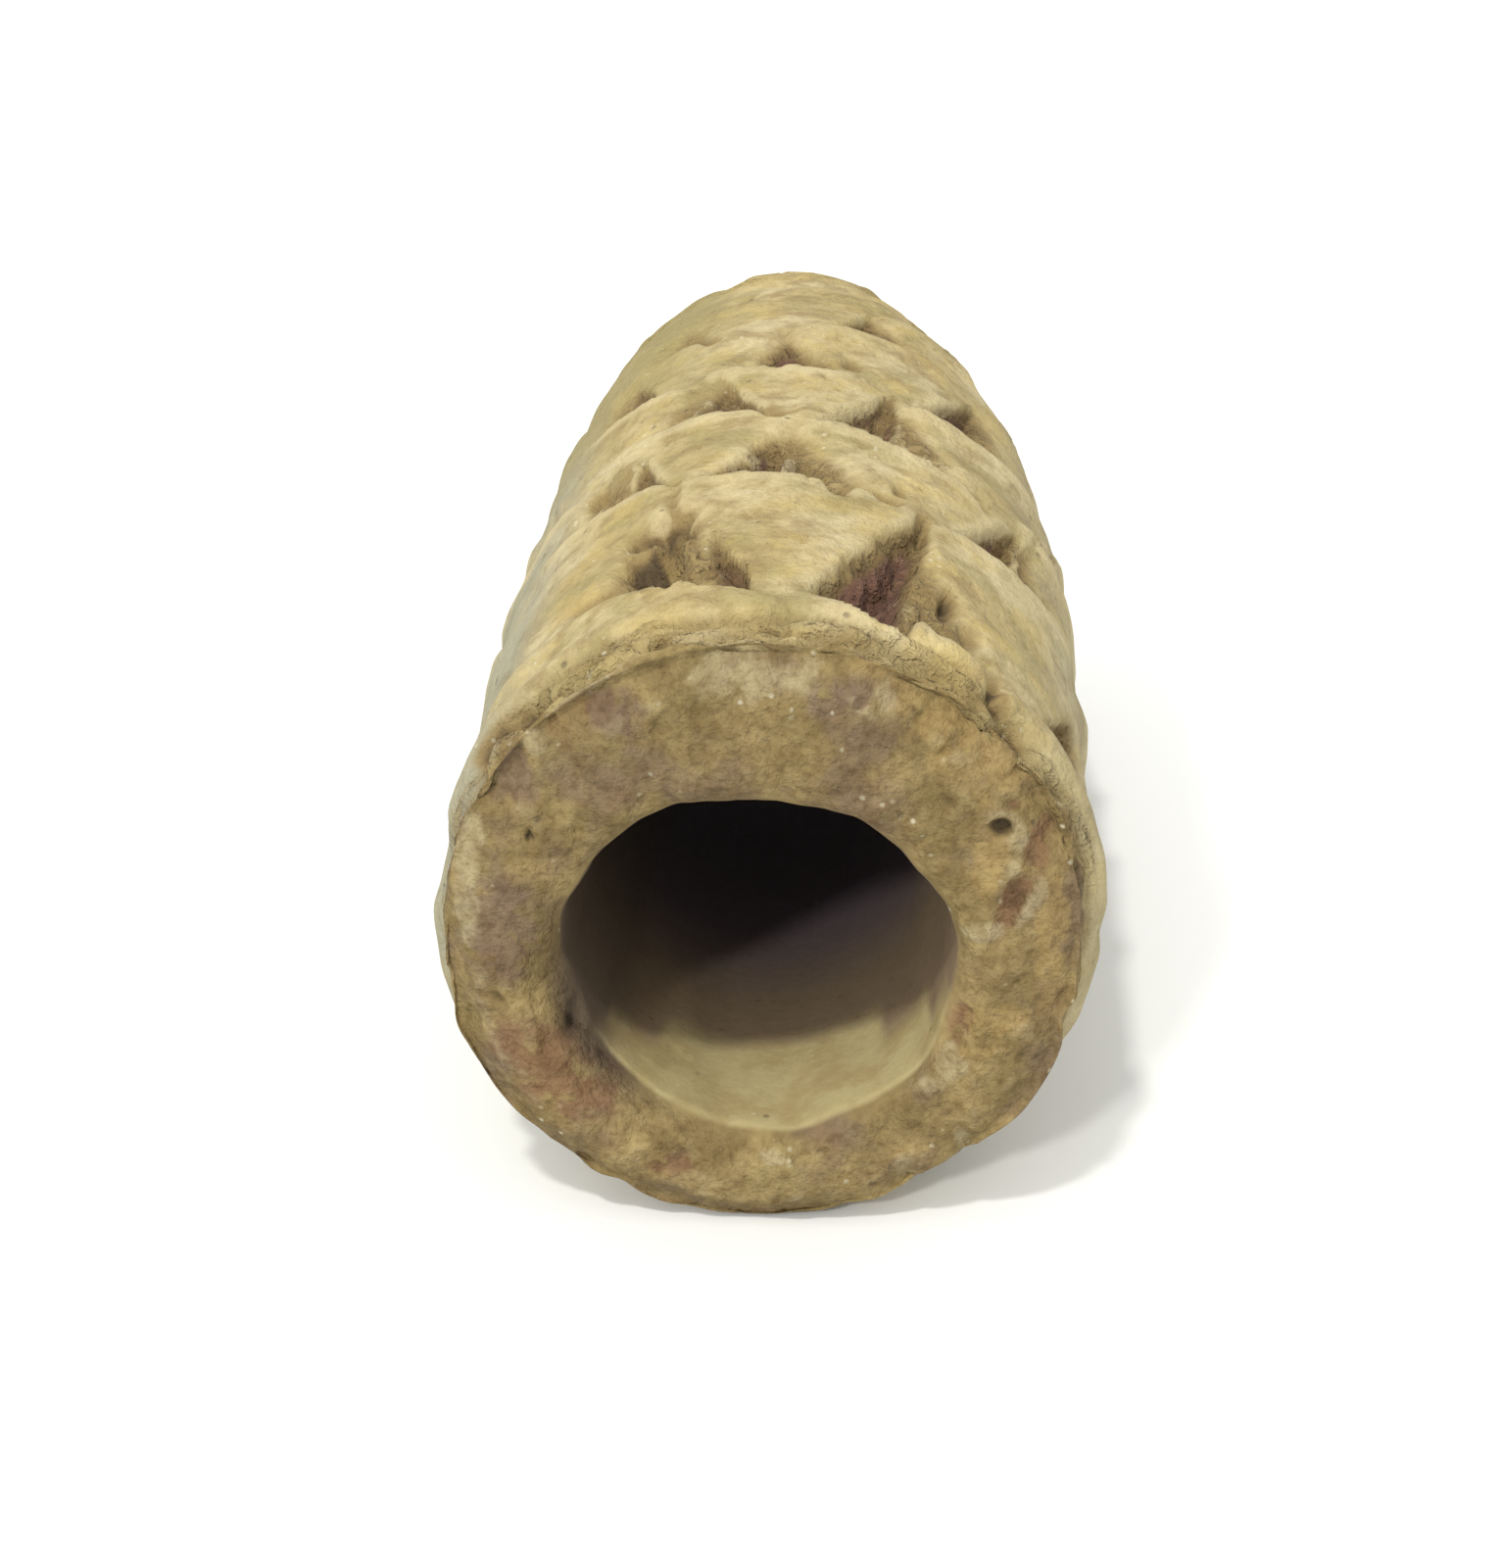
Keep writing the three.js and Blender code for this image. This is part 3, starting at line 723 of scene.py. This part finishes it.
clayLook = {
    # colours in linear light
    # the pale tan is also a painted highlight on crests, the brown also painted shade in cuts and hollows,
    # the flanks' grey also a painted grazing sheen
    "tan": (0.39, 0.31, 0.142), "paleTanAndHighlight": (0.50, 0.42, 0.235), "olive": (0.28, 0.232, 0.095),
    "yellow": (0.47, 0.36, 0.13), "brown": (0.25, 0.18, 0.075), "purple": (0.165, 0.09, 0.062),
    "flankGreyAndSheen": (0.31, 0.295, 0.21), "mossGrey": (0.25, 0.235, 0.15), "pitBrown": (0.17, 0.115, 0.05),
    "shoulder": (0.27, 0.205, 0.09), "faceBrown": (0.205, 0.15, 0.062), "faceTan": (0.32, 0.24, 0.105),
    # the bore's pale colour is painted light on its low side; its darkest colour and the lip's deep brown are
    # painted shade
    "faceRust": (0.205, 0.125, 0.056), "facePlum": (0.165, 0.115, 0.072), "boreLitPatch": (0.40, 0.335, 0.165),
    "boreBrown": (0.205, 0.15, 0.09), "boreShade": (0.10, 0.076, 0.086), "lipShadeColour": (0.075, 0.055, 0.038),
    # the darkest stain colour is painted shade in holes, cracks, deep marks and hollows
    "darkStain": (0.06, 0.045, 0.025), "paleStain": (0.38, 0.32, 0.19), "rustStain": (0.19, 0.105, 0.055),
    "purpleStain": (0.17, 0.115, 0.08), "ochreStain": (0.32, 0.23, 0.092),
    # the pinholes' colour is painted shade
    "grit": (0.52, 0.48, 0.34), "pinholeShade": (0.09, 0.065, 0.04),
    "roughness": 0.9,
    "specular": 0.25,
    "grainDepth": 0.00005,
    # Layers of colour, each over the ones before: colour, how strong it is, and its masks. A mask is patches
    # (cell in metres, where it begins, where it is whole, shift, detail) or a trait of the seal (name, where
    # it begins, where it is whole).
    # The wall is sandy tan, paler and olive in patches, grey-green with a painted grazing sheen on the
    # flanks, brown and purple in the notches, the brown partly painted shade, with painted shade in hollows
    # and deep marks, and pale along
    # crests: worn edges with a painted highlight.
    "wall": [
        ("paleTanAndHighlight", 1, (0.009, 0.42, 0.64)),
        ("olive", 0.75, (0.005, 0.48, 0.66, 0.3)),
        ("brown", 0.65, (0.002, 0.45, 0.66, 0.5)),
        ("yellow", 0.45, (0.0035, 0.5, 0.65, 6.5)),
        # grey-green on the flanks, with a painted grazing sheen
        ("flankGreyAndSheen", 0.9, ("flank", 0.0, 1.0), (0.006, 0.2, 0.55, 5.3)),
        ("mossGrey", 0.7, ("flank", 0.3, 1.0), (0.007, 0.5, 0.68, 5.9)),
        ("olive", 0.85, ("dusk", 0.0, 1.0)),
        # dirt in the cuts, with painted shade on their floors
        ("brown", 0.9, ("cut", 0.08, 0.5), (0.0022, 0.12, 0.5, 0.7)),
        ("shoulder", 0.65, ("shoulder", 0.1, 1.0)),
        ("pitBrown", 0.85, ("pit", 0.05, 0.45)),
        ("purple", 1, ("pit", 0.4, 0.75), (0.0016, 0.2, 0.5, 0.9)),
        # painted shade in the deep marks
        ("darkStain", 0.75, ("dark", 0.0, 0.8)),
        # painted shade in the hollows
        ("brown", 0.75, ("hollowShade", 0.03, 0.2)),
        # worn pale edges with a painted highlight along the crests
        ("paleTanAndHighlight", 0.6, ("crest", 0.05, 0.2)),
    ],
    # The ends are browner, with tan, plum and rusty patches and the stains of the front end's marks, painted
    # shade in their holes, cracks and hollows, and pale crests: worn edges with a painted highlight.
    "ends": [
        ("faceTan", 1, (0.0035, 0.42, 0.66, 1.1, 6.0)),
        ("facePlum", 0.8, (0.0042, 0.46, 0.66, 1.3, 6.0)),
        ("faceRust", 0.6, (0.0045, 0.56, 0.72, 2.3, 5.0)),
        ("olive", 0.25, (0.003, 0.5, 0.7, 1.7, 6.0)),
        ("purpleStain", 0.7, ("purpleStain", 0.0, 1.0)),
        ("rustStain", 0.75, ("rustStain", 0.0, 1.0)),
        ("ochreStain", 0.7, ("ochreStain", 0.0, 1.0)),
        ("paleStain", 0.6, ("paleStain", 0.0, 1.0)),
        # painted shade in the holes and cracks
        ("darkStain", 0.8, ("darkStain", 0.0, 1.0)),
        # painted shade in the hollows
        ("darkStain", 0.42, ("hollowShade", 0.04, 0.3)),
        # worn pale edges with a painted highlight along the crests
        ("paleStain", 0.6, ("crest", 0.03, 0.16)),
    ],
    # The bore is brown, with painted shade deep inside and on its left side, and painted light that makes its
    # low side pale by the mouths.
    "bore": [("boreShade", 1, ("deepBoreShade", 0.4, 1.0)), ("lipShadeColour", 0.85, ("boreLeftShade", 0.0, 1.0))],
    "litPatch": [("faceTan", 0.7, (0.0024, 0.42, 0.66, 2.9))],
    # where the ends, the painted light on the bore's low side, the bore and the painted shade on the soft lip
    # take over
    "endsMask": ("face", 0.2, 0.8), "litPatchMask": ("boreLitPatch", 0.0, 1.0), "boreMask": ("bore", 0.88, 1.0),
    "lip": [("lipShadeColour", 0.9, ("lip", 0.0, 0.8))],
    # the grain, in two sizes: what it tints the clay with, and its patches
    "grain": [
        ((0.70, 0.66, 0.60), (0.0011, 0.3, 0.75, 3.1, 6.0)),
        ((0.74, 0.70, 0.64), (0.0004, 0.4, 0.7, 3.3, 2.0)),
    ],
    "grainOnWall": 0.35, "grainMoreOnEnds": 0.55,  # its strength on the wall, and what the ends add to it
    # how much of the grain and of its height the bore loses
    "boreStep": ("bore", 0.3, 1.0), "boreGrainLoss": 0.75, "boreHeightLoss": 0.85,
    # grit and pinholes: specks (cell, share of the cells, radius, shift), the patches they keep to, strength;
    # the pinholes' dark is painted shade
    "gritSpecks": (0.00042, 0.16, 0.36, 3.7), "gritPatches": (0.004, 0.5, 0.65, 3.8), "gritStrength": 0.7,
    "gritEnds": ("deepBoreShade", 0.0, 0.5),
    "holeSpecks": (0.0008, 0.12, 0.26, 4.1), "holePatches": (0.003, 0.45, 0.6, 4.2), "holeShadeStrength": 0.6,
    # crumbly ground has painted shade between the crumbs
    "roughMask": ("rough", 0.0, 1.0), "crumbs": (0.0007, 0.38, 0.62, 4.9, 3.0),
    "gapShadeTint": (0.5, 0.42, 0.36), "gapShadeStrength": 0.45,
    # heights, as shares of the grain's depth: fine and coarse grain, crumbs and pinholes
    "fineGrain": (0.0003, 0.3, 0.7, 4.3, 2.0), "coarseGrain": (0.001, 0.2, 0.8, 4.7),
    "coarseHeight": 2.2, "crumbHeight": 4.0, "holeDepth": 1.6,
}


def addNode(tree, kind, inputs=(), **settings):
    # one node with its settings; each input is a plain value or the socket that feeds it
    made = tree.nodes.new(kind)
    for name, value in settings.items():
        setattr(made, name, value)
    for name, value in dict(inputs).items():
        if isinstance(value, bpy.types.NodeSocket):
            tree.links.new(value, made.inputs[name])
        else:
            made.inputs[name].default_value = value
    return made


def newGroup(name, inputs, outputs):
    # an empty node group with named float or vector sockets
    tree = bpy.data.node_groups.new(name, "ShaderNodeTree")
    kinds = {"float": "NodeSocketFloat", "vector": "NodeSocketVector"}
    for title, kind, value in inputs:
        socket = tree.interface.new_socket(title, in_out="INPUT", socket_type=kinds[kind])
        if value is not None:
            socket.default_value = value
    for title, kind in outputs:
        tree.interface.new_socket(title, in_out="OUTPUT", socket_type=kinds[kind])
    return tree, tree.nodes.new("NodeGroupInput").outputs, tree.nodes.new("NodeGroupOutput").inputs


def patchGroup():
    # soft patches: layered noise, turned into a mask that rises from Low to High
    tree, take, give = newGroup(
        "patches",
        [("Place", "vector", None), ("Cell", "float", 0.005), ("Detail", "float", 4.0),
         ("Low", "float", 0.45), ("High", "float", 0.6)],
        [("Mask", "float")],
    )
    scale = addNode(tree, "ShaderNodeMath", {0: 1.0, 1: take["Cell"]}, operation="DIVIDE")
    noise = addNode(tree, "ShaderNodeTexNoise",
                    {"Vector": take["Place"], "Scale": scale.outputs[0], "Detail": take["Detail"],
                     "Roughness": 0.6})
    mask = addNode(tree, "ShaderNodeMapRange",
                   {"Value": noise.outputs[0], "From Min": take["Low"], "From Max": take["High"]},
                   interpolation_type="SMOOTHSTEP")
    tree.links.new(mask.outputs[0], give["Mask"])
    return tree


def speckGroup():
    # scattered round specks: cells whose own random figure is under Share, out to Radius from their middle,
    # and whole within a share of that radius
    wholeWithin = 0.4
    tree, take, give = newGroup(
        "specks",
        [("Place", "vector", None), ("Cell", "float", 0.0005), ("Share", "float", 0.1),
         ("Radius", "float", 0.4)],
        [("Mask", "float")],
    )
    scale = addNode(tree, "ShaderNodeMath", {0: 1.0, 1: take["Cell"]}, operation="DIVIDE")
    cells = addNode(tree, "ShaderNodeTexVoronoi", {"Vector": take["Place"], "Scale": scale.outputs[0]})
    inner = addNode(tree, "ShaderNodeMath", {0: take["Radius"], 1: wholeWithin}, operation="MULTIPLY")
    near = addNode(tree, "ShaderNodeMapRange",
                   {"Value": cells.outputs["Distance"], "From Min": take["Radius"],
                    "From Max": inner.outputs[0]})
    red = addNode(tree, "ShaderNodeSeparateColor", {0: cells.outputs["Color"]})
    chosen = addNode(tree, "ShaderNodeMath", {0: red.outputs[0], 1: take["Share"]}, operation="LESS_THAN")
    mask = addNode(tree, "ShaderNodeMath", {0: near.outputs[0], 1: chosen.outputs[0]}, operation="MULTIPLY")
    tree.links.new(mask.outputs[0], give["Mask"])
    return tree


# A brush holds the node tree being painted and the socket that gives the place on the seal.

def useGroup(brush, group, shift, values):
    # the group's mask, with its pattern moved by the shift
    moved = addNode(brush["tree"], "ShaderNodeMapping", {"Vector": brush["place"], "Location": shift})
    node = addNode(brush["tree"], "ShaderNodeGroup", {}, node_tree=groups[group])
    for name, value in values.items():
        node.inputs[name].default_value = value
    brush["tree"].links.new(moved.outputs[0], node.inputs["Place"])
    return node.outputs["Mask"]


def patches(brush, cell, low, high, shift=0.0, detail=4.0):
    return useGroup(brush, "patches", (shift, shift, -shift),
                    {"Cell": cell, "Low": low, "High": high, "Detail": detail})


def specks(brush, cell, share, radius, shift):
    return useGroup(brush, "specks", (shift, -shift, shift),
                    {"Cell": cell, "Share": share, "Radius": radius})


def trait(brush, name, low, high):
    # the seal's own attribute, as a mask that rises from low to high
    value = addNode(brush["tree"], "ShaderNodeAttribute", {}, attribute_name=name).outputs["Fac"]
    mask = addNode(brush["tree"], "ShaderNodeMapRange", {"Value": value, "From Min": low, "From Max": high},
                   interpolation_type="SMOOTHSTEP")
    return mask.outputs[0]


def maths(brush, operation, *values):
    return addNode(brush["tree"], "ShaderNodeMath", dict(enumerate(values)), operation=operation).outputs[0]


def times(brush, *masks):
    total = masks[0]
    for mask in masks[1:]:
        total = maths(brush, "MULTIPLY", total, mask)
    return total


def lessenedBy(brush, mask, share):
    # 1 where the mask is 0, and less by the share where it is 1
    return maths(brush, "SUBTRACT", 1.0, times(brush, mask, share))


def over(brush, under, colour, mask, blend="MIX"):
    # one colour laid over another where the mask is 1; either may be plain or a socket
    mix = addNode(brush["tree"], "ShaderNodeMix", {}, data_type="RGBA", blend_type=blend)
    factor, first, second, result = 0, 6, 7, 2  # the sockets that mix colours
    for place, value in ((first, under), (second, colour), (factor, mask)):
        if isinstance(value, bpy.types.NodeSocket):
            brush["tree"].links.new(value, mix.inputs[place])
        else:
            mix.inputs[place].default_value = (*value, 1) if isinstance(value, tuple) else value
    return mix.outputs[result]


def layered(brush, colour, layers):
    # each layer's mask is its masks and its strength multiplied together
    for name, strength, *masks in layers:
        masks = [trait(brush, *m) if isinstance(m[0], str) else patches(brush, *m) for m in masks]
        if strength < 1:
            masks.append(strength)
        colour = over(brush, colour, clayLook[name], times(brush, *masks))
    return colour


def boreColour(brush):
    # brown, with painted shade deep inside and on the left, and the painted light on the low side over it
    shadedBore = layered(brush, clayLook["boreBrown"], clayLook["bore"])
    litPatch = layered(brush, clayLook["boreLitPatch"], clayLook["litPatch"])
    return over(brush, shadedBore, litPatch, trait(brush, *clayLook["litPatchMask"]))


def clayMaterial():
    c = clayLook
    material = bpy.data.materials.new("firedClay")
    material.use_nodes = True
    tree = material.node_tree
    p = {"tree": tree, "place": addNode(tree, "ShaderNodeTexCoord").outputs["Object"]}
    onEnds = trait(p, *c["endsMask"])
    nearBore = trait(p, *c["boreStep"])
    colour = over(p, layered(p, c["tan"], c["wall"]), layered(p, c["faceBrown"], c["ends"]), onEnds)
    # painted shade on the soft left lip, then the bore with its painted shade and painted light
    colour = layered(p, colour, c["lip"])
    colour = over(p, colour, boreColour(p), trait(p, *c["boreMask"]))
    # the grain of the clay, coarser on the ends than on the wall
    grainShare = maths(p, "MULTIPLY_ADD", onEnds, c["grainMoreOnEnds"], c["grainOnWall"])
    grainShare = times(p, grainShare, lessenedBy(p, nearBore, c["boreGrainLoss"]))
    for tint, grain in c["grain"]:
        colour = over(p, colour, tint, times(p, patches(p, *grain), grainShare), "MULTIPLY")
    outside = maths(p, "SUBTRACT", 1.0, trait(p, *c["gritEnds"]))
    grit = times(p, specks(p, *c["gritSpecks"]), patches(p, *c["gritPatches"]), outside, c["gritStrength"])
    colour = over(p, colour, c["grit"], grit)
    # pinholes, painted dark as shade
    holes = times(p, specks(p, *c["holeSpecks"]), patches(p, *c["holePatches"]))
    colour = over(p, colour, c["pinholeShade"], times(p, holes, c["holeShadeStrength"]))
    crumbs = patches(p, *c["crumbs"])
    rough = trait(p, *c["roughMask"])
    # painted shade between the crumbs
    gapShade = times(p, rough, maths(p, "SUBTRACT", 1.0, crumbs), c["gapShadeStrength"])
    colour = over(p, colour, c["gapShadeTint"], gapShade, "MULTIPLY")
    # the heights of the grain, the crumbs and the pinholes, added up
    coarse = times(p, patches(p, *c["coarseGrain"]), c["coarseHeight"])
    height = maths(p, "ADD", patches(p, *c["fineGrain"]), coarse)
    height = maths(p, "ADD", height, times(p, crumbs, rough, c["crumbHeight"]))
    height = maths(p, "SUBTRACT", height, times(p, holes, c["holeDepth"]))
    height = times(p, height, lessenedBy(p, nearBore, c["boreHeightLoss"]))
    relief = addNode(tree, "ShaderNodeBump", {"Strength": 1.0, "Distance": c["grainDepth"], "Height": height})
    shader = tree.nodes["Principled BSDF"]
    shader.inputs["Roughness"].default_value = c["roughness"]
    shader.inputs["Specular IOR Level"].default_value = c["specular"]
    tree.links.new(colour, shader.inputs["Base Color"])
    tree.links.new(relief.outputs[0], shader.inputs["Normal"])
    return material


groups = {"patches": patchGroup(), "specks": speckGroup()}
firedClay = clayMaterial()
carvedSeal.data.materials.append(firedClay)
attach(carvedSeal, "root")
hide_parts("cylinder_seal")
print("fired clay:", len(firedClay.node_tree.nodes), "nodes")


# The floor, the lights and the camera.

studio = {
    "floorSize": 3.0,
    "floorColour": (0.77, 0.78, 0.765),
    "floorRoughness": 1.0,
    "sky": 1.06,
    "skyColour": (1.0, 1.0, 1.0),
    # each light shines like the sun: strength, degrees above the floor, degrees round from the front
    # towards +X, how wide it looks in degrees, colour
    "lights": {
        "keyLight": (1.45, 61, -24, 4.5, (1.0, 0.98, 0.94)),
        "sideLight": (1.35, 32, -22, 5, (1.0, 0.98, 0.94)),
    },
    # the camera's place, in front radii from the middle of the front end, its turn and its tilt in degrees,
    # its lens in millimetres, and the nearest and farthest that it sees in metres
    "frontRadius": 14.0,
    "cameraAt": (0.273, -7.163, 3.721), "cameraTurn": -2.44, "cameraDown": 23.81,
    "lens": 60.75, "sensorWidth": 36, "nearest": 0.005, "farthest": 20,
}


def layFloor():
    half = studio["floorSize"] / 2
    corners = np.array([(-half, -half, 0), (half, -half, 0), (half, half, 0), (-half, half, 0)])
    floor = meshFrom("floor", corners, np.array([[0, 1, 2, 3]]))
    material = bpy.data.materials.new("paleFloor")
    material.use_nodes = True
    shader = material.node_tree.nodes["Principled BSDF"]
    shader.inputs["Base Color"].default_value = (*studio["floorColour"], 1)
    shader.inputs["Roughness"].default_value = studio["floorRoughness"]
    floor.data.materials.append(material)


def shine(name, strength, height, around, width, colour):
    # a far-off light at that height and direction, with soft-edged shadows
    lamp = bpy.data.lights.new(name, "SUN")
    lamp.energy = strength
    lamp.angle = math.radians(width)
    lamp.color = colour
    piece = bpy.data.objects.new(name, lamp)
    bpy.context.scene.collection.objects.link(piece)
    piece.rotation_euler = (math.radians(90 - height), 0, math.radians(around))


def lightSky():
    world = bpy.data.worlds.new("studio")
    bpy.context.scene.world = world
    world.use_nodes = True
    background = world.node_tree.nodes["Background"]
    background.inputs["Color"].default_value = (*studio["skyColour"], 1)
    background.inputs["Strength"].default_value = studio["sky"]


def placeCamera():
    camera = bpy.data.cameras.new("camera")
    camera.lens = studio["lens"]
    camera.sensor_width = studio["sensorWidth"]
    camera.clip_start = studio["nearest"]
    camera.clip_end = studio["farthest"]
    piece = bpy.data.objects.new("camera", camera)
    bpy.context.scene.collection.objects.link(piece)
    unit = studio["frontRadius"] * mm
    x, y, z = (unit * v for v in studio["cameraAt"])
    frontAt = (seal["axisAcross"] + seal["bow"][0][1]) * mm
    piece.location = (x + frontAt, y - sealLength / 2 * mm, z + axisHeight * mm)
    piece.rotation_euler = (math.radians(90 - studio["cameraDown"]), 0, math.radians(-studio["cameraTurn"]))
    bpy.context.scene.camera = piece


layFloor()
for name, settings in studio["lights"].items():
    shine(name, *settings)
lightSky()
bpy.context.scene.view_settings.view_transform = "Standard"
placeCamera()
print("floor,", len(studio["lights"]), "lights and camera in place")
